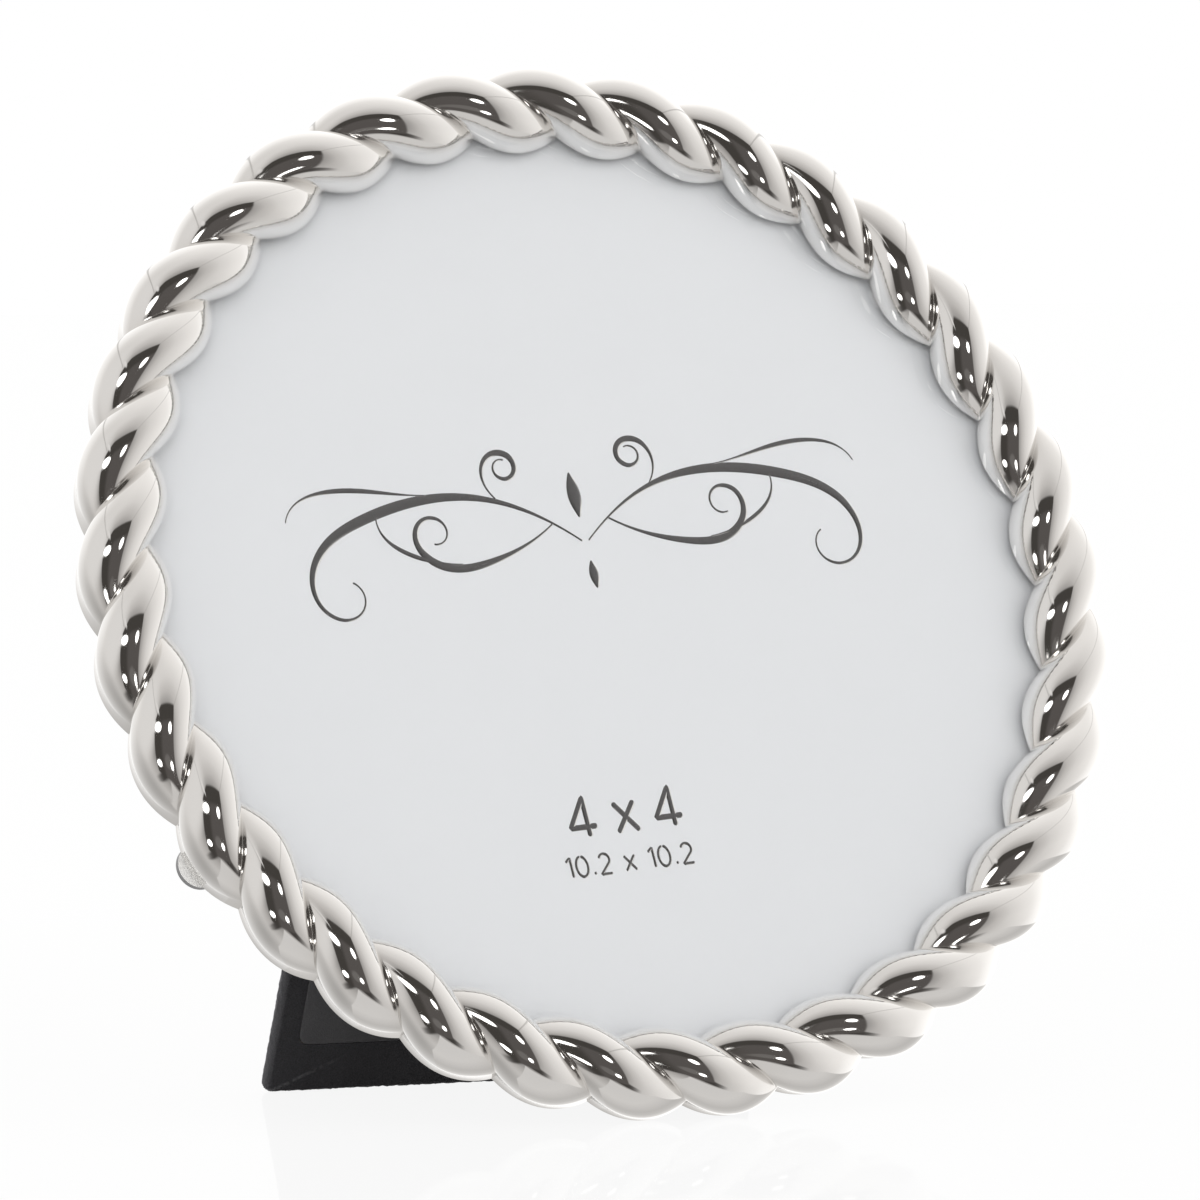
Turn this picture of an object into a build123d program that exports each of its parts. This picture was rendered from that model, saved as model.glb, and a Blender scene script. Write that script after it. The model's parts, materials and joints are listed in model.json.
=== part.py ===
from build123d import *
import os
from math import cos, radians, sin

os.makedirs("parts", exist_ok=True)

# Stance: the frame leans back on its rim, held by a hinged leg behind it
lean = 22.75
leg_tilt = 6.8

# Clearances: fixed fits, running fits, turning parts, and how far a blank runs past its cut
fit_gap = 0.02
running_gap = 0.05
turning_gap = 0.15
overrun = 6.0

# What lies in the rim, front to back: glass, printed card, filler card, velvet-covered back
glass_radius = 50.8
glass_thickness = 1.0
glass_play = 0.4
insert_thickness = 0.25
insert_play = 0.6
filler_thickness = 0.45
filler_play = 0.8
back_core_thickness = 1.0
back_play = 0.5
back_hem_width = 6.0
back_lining_thickness = 0.25
velvet_skin = 0.4
velvet_hem = 0.3
lining_gap = 0.1

# Rope rim, one casting: a ring of slanted lobes with a flat back and a rebate behind the opening
rope_offset = 1.33
lobe_radius = 4.65
groove_share = 0.605
lobe_count = 33
lobe_phase = 3.05
lay_share = 0.83
lay_bow_share = 0.04
crown_power = 2
dome_end = -31.5

# Turn clips and their screws, spaced evenly from the top on the back of the rim
clip_names = ("clip_top", "clip_left", "clip_right")
clip_width = 4.7
clip_tail = 4.4
clip_nose = 8.5
clip_thickness = 0.8
clip_edge = 0.15
screw_radius = 0.75
screw_depth = 2.0
screw_head_radius = 1.5
screw_head_height = 0.7
screw_slot_width = 0.4
screw_slot_depth = 0.35

# Leg hinge: one leaf on the back, one on the leg, and the pin through their knuckles. Its axis
# lies so far below the top edge of the back
hinge_drop = 25.7
leaf_width = 22.0
leaf_length = 12.0
leaf_thickness = 0.6
leaf_corner = 1.5
knuckle_radius = 1.3
middle_knuckle_length = 8.0
pin_radius = 0.7
pin_head_radius = 1.1
pin_head_length = 0.5
rivet_radius = 0.8
rivet_head_radius = 1.6
rivet_head_height = 0.5
rivet_spread_share = 0.27
rivet_place_share = 0.67

# Easel leg: a thin board wrapped in velvet, with a lining panel between the turned-over edges
leg_top_width = 35.0
leg_foot_width = 56.0
leg_core_thickness = 1.6
leg_top_gap = 0.4
leg_corner = 0.8
leg_side_hem = 2.5
leg_foot_hem = 5.0
leg_lining_thickness = 0.45
leg_lining_corner = 1.2
leg_lining_drop = 1.0

# Radii that follow the glass, out to the screws in the middle of the rim's flat back
rebate_radius = glass_radius + glass_play
insert_radius = rebate_radius - insert_play
filler_radius = rebate_radius - filler_play
back_radius = rebate_radius - back_play
rope_ring_radius = rebate_radius + rope_offset
groove_radius = lobe_radius * groove_share
screw_ring_radius = (rebate_radius + rope_ring_radius + groove_radius * cos(radians(dome_end))) / 2
hinge_height = back_radius - hinge_drop

# Levels of the layers, measured forward from the plane through the middle of the rope
glass_back = -glass_thickness
insert_back = glass_back - insert_thickness
filler_back = insert_back - filler_thickness
core_front = filler_back - velvet_hem
core_back = core_front - back_core_thickness
rim_back = core_back - velvet_skin
hinge_level = rim_back - turning_gap - knuckle_radius

# The rope's skin: stops across a lobe, and section angles from the outer side over the front
lobe_pitch = 360 / lobe_count
lobe_stop_shares = (0, 0.06, 0.16, 0.31, 0.5, 0.69, 0.84, 0.94, 1)
section_steps = 12
section_angles = [dome_end + (180 - dome_end) * step / section_steps for step in range(section_steps + 1)]


def rope_point(number, share, section_angle):
    """A point of the rope's skin in the rim's plane, x to the right, y up, z forward.

    The share runs from 0 at one groove to 1 at the next. The section angle is 0 at the outer
    side, 90 at the front and 180 at the inner side. The section's radius swells from the groove
    to the crown of the lobe, and the lay turns the groove back as it crosses the rope, in a
    slight bow.
    """
    swell = 1 - abs(2 * share - 1) ** crown_power
    radius = groove_radius + (lobe_radius - groove_radius) * swell
    crossing = (90 - section_angle) / 180
    lay = lay_share * crossing + lay_bow_share * sin(radians(360 * crossing))
    turn = radians(lobe_phase + lobe_pitch * (number + share + lay))
    across = rope_ring_radius + radius * cos(radians(section_angle))
    return Vector(across * cos(turn), across * sin(turn), radius * sin(radians(section_angle)))


def outer_edge(number):
    """Points where a lobe's outer wall meets the flat back of the rim."""
    points = [rope_point(number, share, dome_end) for share in lobe_stop_shares]
    return [Vector(point.X, point.Y, rim_back) for point in points]


# The frame's plane: its centre stands so high that the lowest lobe touches the floor
rim_points = []
for number in range(lobe_count):
    rim_points += outer_edge(number)
    for share in lobe_stop_shares:
        rim_points += [rope_point(number, share, angle) for angle in section_angles]
lean_cos = cos(radians(lean))
lean_sin = sin(radians(lean))
tilt_cos = cos(radians(leg_tilt))
tilt_sin = sin(radians(leg_tilt))
centre_height = -min(point.Y * lean_cos + point.Z * lean_sin for point in rim_points)
rim_depths = [point.Y * lean_sin - point.Z * lean_cos for point in rim_points]

# The leg hangs from the hinge's axis and meets the floor behind the frame
axis_height = centre_height + hinge_height * lean_cos + hinge_level * lean_sin
leg_front = knuckle_radius - leaf_thickness
leg_thickness = velvet_hem + leg_core_thickness + velvet_skin
leg_rear = leg_front - leg_thickness
leg_reach = axis_height / tilt_cos
axis_depth = hinge_height * lean_sin - hinge_level * lean_cos
foot_depth = axis_depth + axis_height * tilt_sin / tilt_cos - leg_rear / tilt_cos

# The top clip and its screw stand out behind the rim
clip_rear = rim_back - running_gap - clip_thickness
head_rear = clip_rear - running_gap - screw_head_height
clip_depth = (screw_ring_radius + clip_tail - clip_edge) * lean_sin - clip_rear * lean_cos
head_depth = (screw_ring_radius + screw_head_radius) * lean_sin - head_rear * lean_cos

# The object's origin is under the middle of its bounding box
rear_depth = max(rim_depths + [foot_depth, clip_depth, head_depth])
centre_depth = -(min(rim_depths) + rear_depth) / 2
centre_side = -(min(point.X for point in rim_points) + max(point.X for point in rim_points)) / 2
face = Plane(origin=(centre_side, centre_depth, centre_height), x_dir=(1, 0, 0), z_dir=(0, -lean_cos, lean_sin))
hinge_point = face.from_local_coords(Vector(0, hinge_height, hinge_level))
hinge_side = Plane(origin=hinge_point, x_dir=face.y_dir, z_dir=face.x_dir)
leg_face = Plane(origin=hinge_point, x_dir=(1, 0, 0), z_dir=(0, -tilt_cos, -tilt_sin))


def seated(points):
    return [face.from_local_coords(point) for point in points]


# Rope rim: the lobes' skins and walls, the flat back, the ledge and the rebate close one solid
crossings = [
    Wire([Edge.make_spline(seated([rope_point(0, share, angle) for angle in section_angles]))])
    for share in lobe_stop_shares
]
skin = Shell.make_loft(crossings).faces()[0]
skin_edges = sorted(skin.edges(), key=lambda edge: (edge @ 0.5 - face.origin).length)
ledge_edge, dome_edge = skin_edges[0], skin_edges[-1]
back_edge = Edge.make_spline(seated(outer_edge(0)))
wall = Shell.make_loft([Wire([dome_edge]), Wire([back_edge])], ruled=True).faces()[0]
rim_axis = Axis(face.origin, face.z_dir)
lobe_turns = [number * lobe_pitch for number in range(lobe_count)]
rebate_edge = Edge.make_circle(rebate_radius, plane=face)
rebate_wire = Wire([rebate_edge])
ledge = Face(rebate_wire, [Wire([ledge_edge.rotate(rim_axis, turn) for turn in lobe_turns])])
back_wire = Wire([back_edge.rotate(rim_axis, turn) for turn in lobe_turns])
flat_back = Face(back_wire, [rebate_wire.translate(face.z_dir * rim_back)])
rim_faces = [ledge, flat_back, Face.extrude(rebate_edge, face.z_dir * rim_back)]
for turn in lobe_turns:
    rim_faces += [skin.rotate(rim_axis, turn), wall.rotate(rim_axis, turn)]

clip_planes = {}
for number, name in enumerate(clip_names):
    bearing = 90 + 360 * number / len(clip_names)
    along = Vector(cos(radians(bearing)), sin(radians(bearing)), 0)
    outward = face.from_local_coords(along) - face.origin
    place = face.from_local_coords(along * screw_ring_radius + Vector(0, 0, rim_back))
    clip_planes[name] = Plane(origin=place, x_dir=outward, z_dir=face.z_dir)

with BuildPart() as rim:
    add(Solid(Shell(rim_faces)))
    for plane in clip_planes.values():
        with BuildSketch(plane):
            Circle(screw_radius + fit_gap)
        extrude(amount=screw_depth + fit_gap, mode=Mode.SUBTRACT)
rim.part.label = "rim"
export_step(rim.part, "parts/rim.step")

# Glass: a plain disc against the ledge
with BuildPart() as glass:
    with BuildSketch(face):
        Circle(glass_radius)
    extrude(amount=-glass_thickness)
glass.part.label = "glass"
export_step(glass.part, "parts/glass.step")

# Display insert: a printed card behind the glass, where the photograph goes
with BuildPart() as insert_card:
    with BuildSketch(face.offset(glass_back)):
        Circle(insert_radius)
    extrude(amount=-insert_thickness)
insert_card.part.label = "insert_card"
export_step(insert_card.part, "parts/insert_card.step")

# Filler card: presses the print against the glass
with BuildPart() as filler_card:
    with BuildSketch(face.offset(insert_back)):
        Circle(filler_radius)
    extrude(amount=-filler_thickness)
filler_card.part.label = "filler_card"
export_step(filler_card.part, "parts/filler_card.step")

# Back board: the stiff core inside the velvet, drilled for the hinge's rivets
rivet_spread = leaf_width * rivet_spread_share
rivet_distance = leaf_length * rivet_place_share
rivet_places = [(side * rivet_spread, hinge_height + rivet_distance) for side in (-1, 1)]
with BuildPart() as back_board:
    with BuildSketch(face.offset(core_front)):
        Circle(back_radius - velvet_skin)
        with Locations(*rivet_places):
            Circle(rivet_radius + fit_gap, mode=Mode.SUBTRACT)
    extrude(amount=-back_core_thickness)
back_board.part.label = "back_board"
export_step(back_board.part, "parts/back_board.step")

# Back velvet: covers the board's back, wraps round its edge and ends in a hem on the front
with BuildPart() as back_velvet:
    with BuildSketch(face.offset(filler_back)):
        Circle(back_radius)
    extrude(amount=rim_back - filler_back)
    with BuildSketch(face.offset(core_front)):
        Circle(back_radius - velvet_skin)
    extrude(amount=-back_core_thickness, mode=Mode.SUBTRACT)
    with BuildSketch(face.offset(filler_back)):
        Circle(back_radius - back_hem_width)
    extrude(amount=-velvet_hem, mode=Mode.SUBTRACT)
    with BuildSketch(face.offset(rim_back)):
        with Locations(*rivet_places):
            Circle(rivet_radius + fit_gap)
    extrude(amount=velvet_skin, mode=Mode.SUBTRACT)
back_velvet.part.label = "back_velvet"
export_step(back_velvet.part, "parts/back_velvet.step")

# Back lining: a paper disc inside the hem, which covers the board and the rivets' ends
with BuildPart() as back_lining:
    with BuildSketch(face.offset(core_front)):
        Circle(back_radius - back_hem_width - lining_gap)
    extrude(amount=back_lining_thickness)
back_lining.part.label = "back_lining"
export_step(back_lining.part, "parts/back_lining.step")

# Hinge leaf on the back: a stamped plate with a knuckle at each side and room for the middle one
with BuildPart() as hinge_back_leaf:
    with BuildSketch(face.offset(rim_back)):
        with Locations((0, hinge_height)):
            Rectangle(leaf_width, leaf_length, align=(Align.CENTER, Align.MIN))
    extrude(amount=-leaf_thickness)
    fillet(hinge_back_leaf.edges().filter_by(rim_axis).group_by(Axis.Z)[-1], leaf_corner)
    with BuildSketch(hinge_side):
        Circle(knuckle_radius)
    extrude(amount=leaf_width / 2, both=True)
    with BuildSketch(hinge_side):
        Circle(knuckle_radius + turning_gap)
    extrude(amount=middle_knuckle_length / 2 + turning_gap, both=True, mode=Mode.SUBTRACT)
    with BuildSketch(hinge_side):
        Circle(pin_radius + fit_gap)
    extrude(amount=leaf_width / 2, both=True, mode=Mode.SUBTRACT)
    with BuildSketch(face.offset(rim_back)):
        with Locations(*rivet_places):
            Circle(rivet_radius + fit_gap)
    extrude(amount=-leaf_thickness, mode=Mode.SUBTRACT)
hinge_back_leaf.part.label = "hinge_back_leaf"
export_step(hinge_back_leaf.part, "parts/hinge_back_leaf.step")

# Hinge leaf on the leg: its middle knuckle turns on the pin, and a tab above it stops the leg
# when the tab's edge comes to the leaf on the back
leaf_start = knuckle_radius + turning_gap
stop_reach = (leaf_start - leaf_thickness - running_gap) / sin(radians(lean + leg_tilt))
leg_rivet_places = [(side * rivet_spread, -leaf_start - leaf_length / 2) for side in (-1, 1)]
with BuildPart() as hinge_leg_leaf:
    with BuildSketch(leg_face.offset(knuckle_radius)):
        with Locations((0, -leaf_start)):
            Rectangle(leaf_width, leaf_length, align=(Align.CENTER, Align.MAX))
    extrude(amount=-leaf_thickness)
    fillet(hinge_leg_leaf.edges().filter_by(Axis(leg_face.origin, leg_face.z_dir)), leaf_corner)
    with BuildSketch(leg_face.offset(knuckle_radius)):
        Rectangle(middle_knuckle_length, leaf_start + leaf_corner, align=(Align.CENTER, Align.MAX))
    extrude(amount=-leaf_thickness)
    with BuildSketch(leg_face):
        Rectangle(middle_knuckle_length, stop_reach, align=(Align.CENTER, Align.MIN))
    extrude(amount=-leaf_thickness)
    with BuildSketch(hinge_side):
        Circle(knuckle_radius)
    extrude(amount=middle_knuckle_length / 2, both=True)
    with BuildSketch(hinge_side):
        Circle(pin_radius + running_gap)
    extrude(amount=middle_knuckle_length / 2, both=True, mode=Mode.SUBTRACT)
    with BuildSketch(leg_face.offset(knuckle_radius)):
        with Locations(*leg_rivet_places):
            Circle(rivet_radius + fit_gap)
    extrude(amount=-leaf_thickness, mode=Mode.SUBTRACT)
hinge_leg_leaf.part.label = "hinge_leg_leaf"
export_step(hinge_leg_leaf.part, "parts/hinge_leg_leaf.step")

# Hinge pin: headed at both ends, fixed in the side knuckles
pin_reach = leaf_width / 2 + fit_gap
with BuildPart() as hinge_pin:
    with BuildSketch(hinge_side):
        Circle(pin_radius)
    extrude(amount=pin_reach, both=True)
    for side in (-1, 1):
        with BuildSketch(hinge_side.offset(side * pin_reach)):
            Circle(pin_head_radius)
        extrude(amount=side * pin_head_length)
hinge_pin.part.label = "hinge_pin"
export_step(hinge_pin.part, "parts/hinge_pin.step")

# Rivets of the leaf on the back: flat heads outside, shanks through the leaf, velvet and board
with BuildPart() as back_rivets:
    with BuildSketch(face.offset(core_front)):
        with Locations(*rivet_places):
            Circle(rivet_radius)
    extrude(amount=rim_back - leaf_thickness - core_front)
    with BuildSketch(face.offset(rim_back - leaf_thickness)):
        with Locations(*rivet_places):
            Circle(rivet_head_radius)
    extrude(amount=-rivet_head_height)
back_rivets.part.label = "back_rivets"
export_step(back_rivets.part, "parts/back_rivets.step")


# The leg's outline widens evenly from its top edge to the floor
leg_top = knuckle_radius + leg_top_gap
lining_top = leaf_start + leaf_length + leg_lining_drop
lining_foot = leg_reach - leg_foot_hem
leg_flare = (leg_foot_width - leg_top_width) / (leg_reach - leg_top) / 2


def leg_outline(top, foot, margin):
    """Corners of a piece of the leg between two distances down from the hinge's axis."""
    top_half = leg_top_width / 2 + leg_flare * (top - leg_top) - margin
    foot_half = leg_top_width / 2 + leg_flare * (foot - leg_top) - margin
    return [(-top_half, -top), (-foot_half, -foot), (foot_half, -foot), (top_half, -top)]


def leg_slab(margin, front, thickness):
    """A slab in the leg's shape, smaller by the margin all round, its foot cut level."""
    with BuildPart() as slab:
        with BuildSketch(leg_face.offset(front)):
            Polygon(*leg_outline(leg_top + margin, leg_reach + overrun, margin), align=None)
        extrude(amount=-thickness)
        split(bisect_by=Plane.XY.offset(margin), keep=Keep.TOP)
        corners = slab.edges().filter_by(lambda edge: edge.length < 2 * thickness)
        fillet(corners, leg_corner - margin)
    return slab.part


# Leg board: the stiff core inside the velvet, drilled for the hinge's rivets
board_slab = leg_slab(velvet_skin, leg_front - velvet_hem, leg_core_thickness)
with BuildPart() as leg_board:
    add(board_slab)
    with BuildSketch(leg_face.offset(leg_front)):
        with Locations(*leg_rivet_places):
            Circle(rivet_radius + fit_gap)
    extrude(amount=-leg_thickness, mode=Mode.SUBTRACT)
leg_board.part.label = "leg_board"
export_step(leg_board.part, "parts/leg_board.step")

# Leg velvet: covers the board's rear and edges and ends in a hem round the front
with BuildPart() as leg_velvet:
    add(leg_slab(0, leg_front, leg_thickness))
    add(board_slab, mode=Mode.SUBTRACT)
    with BuildSketch(leg_face.offset(leg_front)) as window:
        Polygon(*leg_outline(lining_top, lining_foot, leg_side_hem), align=None)
        fillet(window.vertices(), leg_lining_corner)
    extrude(amount=-velvet_hem, mode=Mode.SUBTRACT)
    with BuildSketch(leg_face.offset(leg_front)):
        with Locations(*leg_rivet_places):
            Circle(rivet_radius + fit_gap)
    extrude(amount=-leg_thickness, mode=Mode.SUBTRACT)
leg_velvet.part.label = "leg_velvet"
export_step(leg_velvet.part, "parts/leg_velvet.step")

# Leg lining: a velvet panel glued on the board inside the hem
with BuildPart() as leg_lining:
    with BuildSketch(leg_face.offset(leg_front - velvet_hem)) as panel:
        side_margin = leg_side_hem + lining_gap
        Polygon(*leg_outline(lining_top + lining_gap, lining_foot - lining_gap, side_margin), align=None)
        fillet(panel.vertices(), leg_lining_corner)
    extrude(amount=leg_lining_thickness)
leg_lining.part.label = "leg_lining"
export_step(leg_lining.part, "parts/leg_lining.step")

# Rivets of the leaf on the leg: flat heads on the rear, shanks through the velvet, board and leaf
with BuildPart() as leg_rivets:
    with BuildSketch(leg_face.offset(knuckle_radius)):
        with Locations(*leg_rivet_places):
            Circle(rivet_radius)
    extrude(amount=leg_rear - knuckle_radius)
    with BuildSketch(leg_face.offset(leg_rear)):
        with Locations(*leg_rivet_places):
            Circle(rivet_head_radius)
    extrude(amount=-rivet_head_height)
leg_rivets.part.label = "leg_rivets"
export_step(leg_rivets.part, "parts/leg_rivets.step")

# Turn clips: round-ended plates that turn on their screws and hold the back in the rim
for name, plane in clip_planes.items():
    with BuildPart() as clip:
        with BuildSketch(plane.offset(-running_gap)):
            with Locations(((clip_tail - clip_nose) / 2, 0)):
                SlotOverall(clip_tail + clip_nose, clip_width)
        extrude(amount=-clip_thickness)
        chamfer(clip.faces().sort_by(rim_axis)[0].edges(), clip_edge)
        with BuildSketch(plane):
            Circle(screw_radius + running_gap)
        extrude(amount=-clip_thickness - running_gap, mode=Mode.SUBTRACT)
    clip.part.label = name
    export_step(clip.part, f"parts/{name}.step")

# Clip screws: slotted heads just clear of the clips, shanks in the rim's blind holes
head_seat = -clip_thickness - 2 * running_gap
with BuildPart() as clip_screws:
    for plane in clip_planes.values():
        with BuildSketch(plane.offset(screw_depth)):
            Circle(screw_radius)
        extrude(amount=head_seat - screw_depth)
        with BuildSketch(plane.offset(head_seat)):
            Circle(screw_head_radius)
        extrude(amount=-screw_head_height)
        with BuildSketch(plane.offset(head_seat - screw_head_height)):
            Rectangle(screw_slot_width, 2 * screw_head_radius)
        extrude(amount=screw_slot_depth, mode=Mode.SUBTRACT)
clip_screws.part.label = "clip_screws"
export_step(clip_screws.part, "parts/clip_screws.step")

# Places of the joints, in millimetres
print("leg hinge", hinge_point, "axis", face.x_dir, "folds by", lean + leg_tilt)
for name, plane in clip_planes.items():
    print(name, plane.origin, "axis", plane.z_dir)
print("foot", leg_face.from_local_coords(Vector(0, -leg_reach, (leg_front + leg_rear) / 2)))
print("frame centre", face.origin, "rim back", rim_back)
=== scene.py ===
import json
from math import cos, pi, radians, sin

import bmesh
import bpy
import numpy as np
from mathutils import Matrix, Vector


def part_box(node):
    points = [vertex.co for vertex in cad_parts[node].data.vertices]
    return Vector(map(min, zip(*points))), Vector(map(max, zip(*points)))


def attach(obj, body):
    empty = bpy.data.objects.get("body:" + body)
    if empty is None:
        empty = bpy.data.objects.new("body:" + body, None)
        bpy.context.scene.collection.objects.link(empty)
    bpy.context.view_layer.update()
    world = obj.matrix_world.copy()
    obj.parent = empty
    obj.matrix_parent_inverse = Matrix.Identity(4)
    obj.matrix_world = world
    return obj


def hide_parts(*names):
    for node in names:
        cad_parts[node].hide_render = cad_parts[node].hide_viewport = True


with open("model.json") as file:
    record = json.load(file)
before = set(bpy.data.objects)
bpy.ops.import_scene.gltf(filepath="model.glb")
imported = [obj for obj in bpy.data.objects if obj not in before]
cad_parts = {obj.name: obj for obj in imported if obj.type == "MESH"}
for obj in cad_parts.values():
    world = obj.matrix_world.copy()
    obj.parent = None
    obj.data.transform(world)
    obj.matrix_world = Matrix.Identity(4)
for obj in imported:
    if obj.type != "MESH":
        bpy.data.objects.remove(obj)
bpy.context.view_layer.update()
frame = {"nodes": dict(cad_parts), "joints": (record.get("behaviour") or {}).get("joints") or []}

# Rim: one casting in the shape of a twisted rope, silver-plated and polished. Slanted lobes run
# round the ring, and behind them lie a flat back and the rebate that the glass drops into.
# The casting leans back with the glass, square to the axis that the clips turn on.
mm = 0.001
nodes = frame["nodes"]
joints = {joint["name"]: joint for joint in frame["joints"]}
glass_low, glass_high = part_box("glass")
glass_thickness = 1.0 * mm
face_right = np.array([1.0, 0.0, 0.0])
face_normal = np.array(joints["clip_top_turn"]["axis"], float)
face_normal /= np.linalg.norm(face_normal)
face_up = np.cross(face_normal, face_right)
face_centre = np.array((glass_low + glass_high) / 2) + face_normal * glass_thickness / 2

rope_ring_radius = 52.53 * mm
lobe_radius = 4.65 * mm
groove_share = 0.605
groove_softness = 0.003
lobe_count = 33
lobe_phase = radians(3.05)
lay_share = 0.83
lay_bow_share = 0.04
crown_power = 2
dome_end = radians(-31.5)
rebate_radius = 51.2 * mm
rim_back = -3.4 * mm
steps_per_lobe = 26
section_steps = 60
wall_steps = 8
merge_reach = 0.0005 * mm
tarnish_fade = 6


def on_face(x, y, z):
    """Points given to the right, up and forward of the frame's centre, as places in the scene."""
    x, y, z = np.broadcast_arrays(x, y, z)
    return face_centre + x[..., None] * face_right + y[..., None] * face_up + z[..., None] * face_normal


def surface(name, grid, around=False, across=False, smooth=True, sharp=None):
    """An object from a grid of points, one quad a cell, closed around its rows or across its
    columns where asked. Points that fall together at a pole or a seam are merged, and the
    faces are turned outwards."""
    rows, columns = grid.shape[:2]
    row = np.arange(rows if around else rows - 1)[:, None]
    column = np.arange(columns if across else columns - 1)[None, :]
    after, beside = (row + 1) % rows, (column + 1) % columns
    near, far = row * columns, after * columns
    corners = near + column, far + column, far + beside, near + beside
    quads = np.stack(np.broadcast_arrays(*corners), -1).reshape(-1, 4)
    mesh = bpy.data.meshes.new(name)
    mesh.from_pydata(grid.reshape(-1, 3).tolist(), [], quads.tolist())
    made = bmesh.new()
    made.from_mesh(mesh)
    bmesh.ops.remove_doubles(made, verts=made.verts, dist=merge_reach)
    bmesh.ops.recalc_face_normals(made, faces=made.faces)
    made.to_mesh(mesh)
    made.free()
    mesh.polygons.foreach_set("use_smooth", np.full(len(mesh.polygons), smooth))
    if sharp is not None:
        mesh.set_sharp_from_angle(angle=sharp)
    piece = bpy.data.objects.new(name, mesh)
    bpy.context.scene.collection.objects.link(piece)
    return piece


def lobe_radius_at(share):
    """The rope section's radius across one lobe: it swells from the groove to the crown by one
    less the square of the distance from the crown, with the groove's bottom slightly rounded."""
    reach = np.minimum(share, 1 - share)
    rounded = np.sqrt(reach**2 + groove_softness**2) - groove_softness
    rounded *= 0.5 / (np.sqrt(0.25 + groove_softness**2) - groove_softness)
    swell = 1 - np.abs(2 * rounded - 1) ** crown_power
    return lobe_radius * (groove_share + (1 - groove_share) * swell)


def lay(angle):
    """How far round the ring the lay has turned, in lobes, where the section's angle is this."""
    crossing = (pi / 2 - angle) / pi
    return lay_share * crossing + lay_bow_share * np.sin(2 * pi * crossing)


def rope_casting():
    """Rows cross the rope and step round the ring, closer together at the grooves. Each row goes
    from the glass's ledge over the front to the outer wall, round the flat back and up the
    rebate. The lay turns a row round the ring in step with its angle about the rope."""
    lobe = np.repeat(np.arange(lobe_count), steps_per_lobe)
    share = np.tile((1 - np.cos(pi * np.arange(steps_per_lobe) / steps_per_lobe)) / 2, lobe_count)
    pitch = 2 * pi / lobe_count
    angle = np.linspace(pi, dome_end, section_steps)[None, :]
    radius = lobe_radius_at(share)[:, None]
    turn = lobe_phase + pitch * ((lobe + share)[:, None] + lay(angle))
    across = rope_ring_radius + radius * np.cos(angle)
    height = radius * np.sin(angle)
    last, first = turn[:, -1:], turn[:, :1]
    home = last + (first - last) * np.linspace(0, 1, wall_steps)[None, :]
    rebate = np.full_like(home, rebate_radius)
    climb = np.linspace(rim_back, 0, wall_steps)[None, :] + 0 * home
    turn = np.hstack([turn, last, home])
    across = np.hstack([across, across[:, -1:], rebate])
    height = np.hstack([height, np.full_like(last, rim_back), climb])
    return on_face(across * np.cos(turn), across * np.sin(turn), height)


class Value:
    """The output of a shader node. A sum, difference, product or quotient adds a Math node."""

    def __init__(self, socket):
        self.socket = socket

    @staticmethod
    def node(tree, kind, settings=None, inputs=None, output=0):
        """Adds a node of that kind: its settings first, then numbers or links into its sockets."""
        made = tree.nodes.new("ShaderNode" + kind)
        for name, setting in (settings or {}).items():
            if name == "stops":
                ramp = made.color_ramp
                while len(ramp.elements) < len(setting):
                    ramp.elements.new(1.0)
                for stop, (place, colour) in zip(ramp.elements, setting):
                    stop.position = place
                    stop.color = (*colour, 1)
            else:
                setattr(made, name, setting)
        for name, value in (inputs or {}).items():
            if isinstance(value, Value):
                tree.links.new(value.socket, made.inputs[name])
            else:
                made.inputs[name].default_value = value
        return Value(made.outputs[output])

    def maths(self, operation, first, second=0.0):
        return Value.node(self.socket.id_data, "Math", {"operation": operation}, {0: first, 1: second})

    def __add__(self, other):
        return self.maths("ADD", self, other)

    __radd__ = __add__

    def __sub__(self, other):
        return self.maths("SUBTRACT", self, other)

    def __rsub__(self, other):
        return self.maths("SUBTRACT", other, self)

    def __mul__(self, other):
        return self.maths("MULTIPLY", self, other)

    __rmul__ = __mul__

    def __truediv__(self, other):
        return self.maths("DIVIDE", self, other)

    def __pow__(self, other):
        return self.maths("POWER", self, other)

    def __abs__(self):
        return self.maths("ABSOLUTE", self)

    def dot(self, direction):
        """How far this vector reaches along a direction."""
        inputs = {0: self, 1: tuple(direction)}
        return Value.node(self.socket.id_data, "VectorMath", {"operation": "DOT_PRODUCT"}, inputs, 1)

    def ramp(self, low, high):
        """0 below low, 1 above high and smooth between; with low above high it falls instead."""
        inputs = {"Value": self, "From Min": low, "From Max": high}
        settings = {"interpolation_type": "SMOOTHSTEP"}
        return Value.node(self.socket.id_data, "MapRange", settings, inputs)

    def blend(self, first, second):
        """The first colour where this value is 0, the second where it is 1."""
        inputs = {0: self, 6: first, 7: second}
        return Value.node(self.socket.id_data, "Mix", {"data_type": "RGBA"}, inputs, 2)


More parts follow.
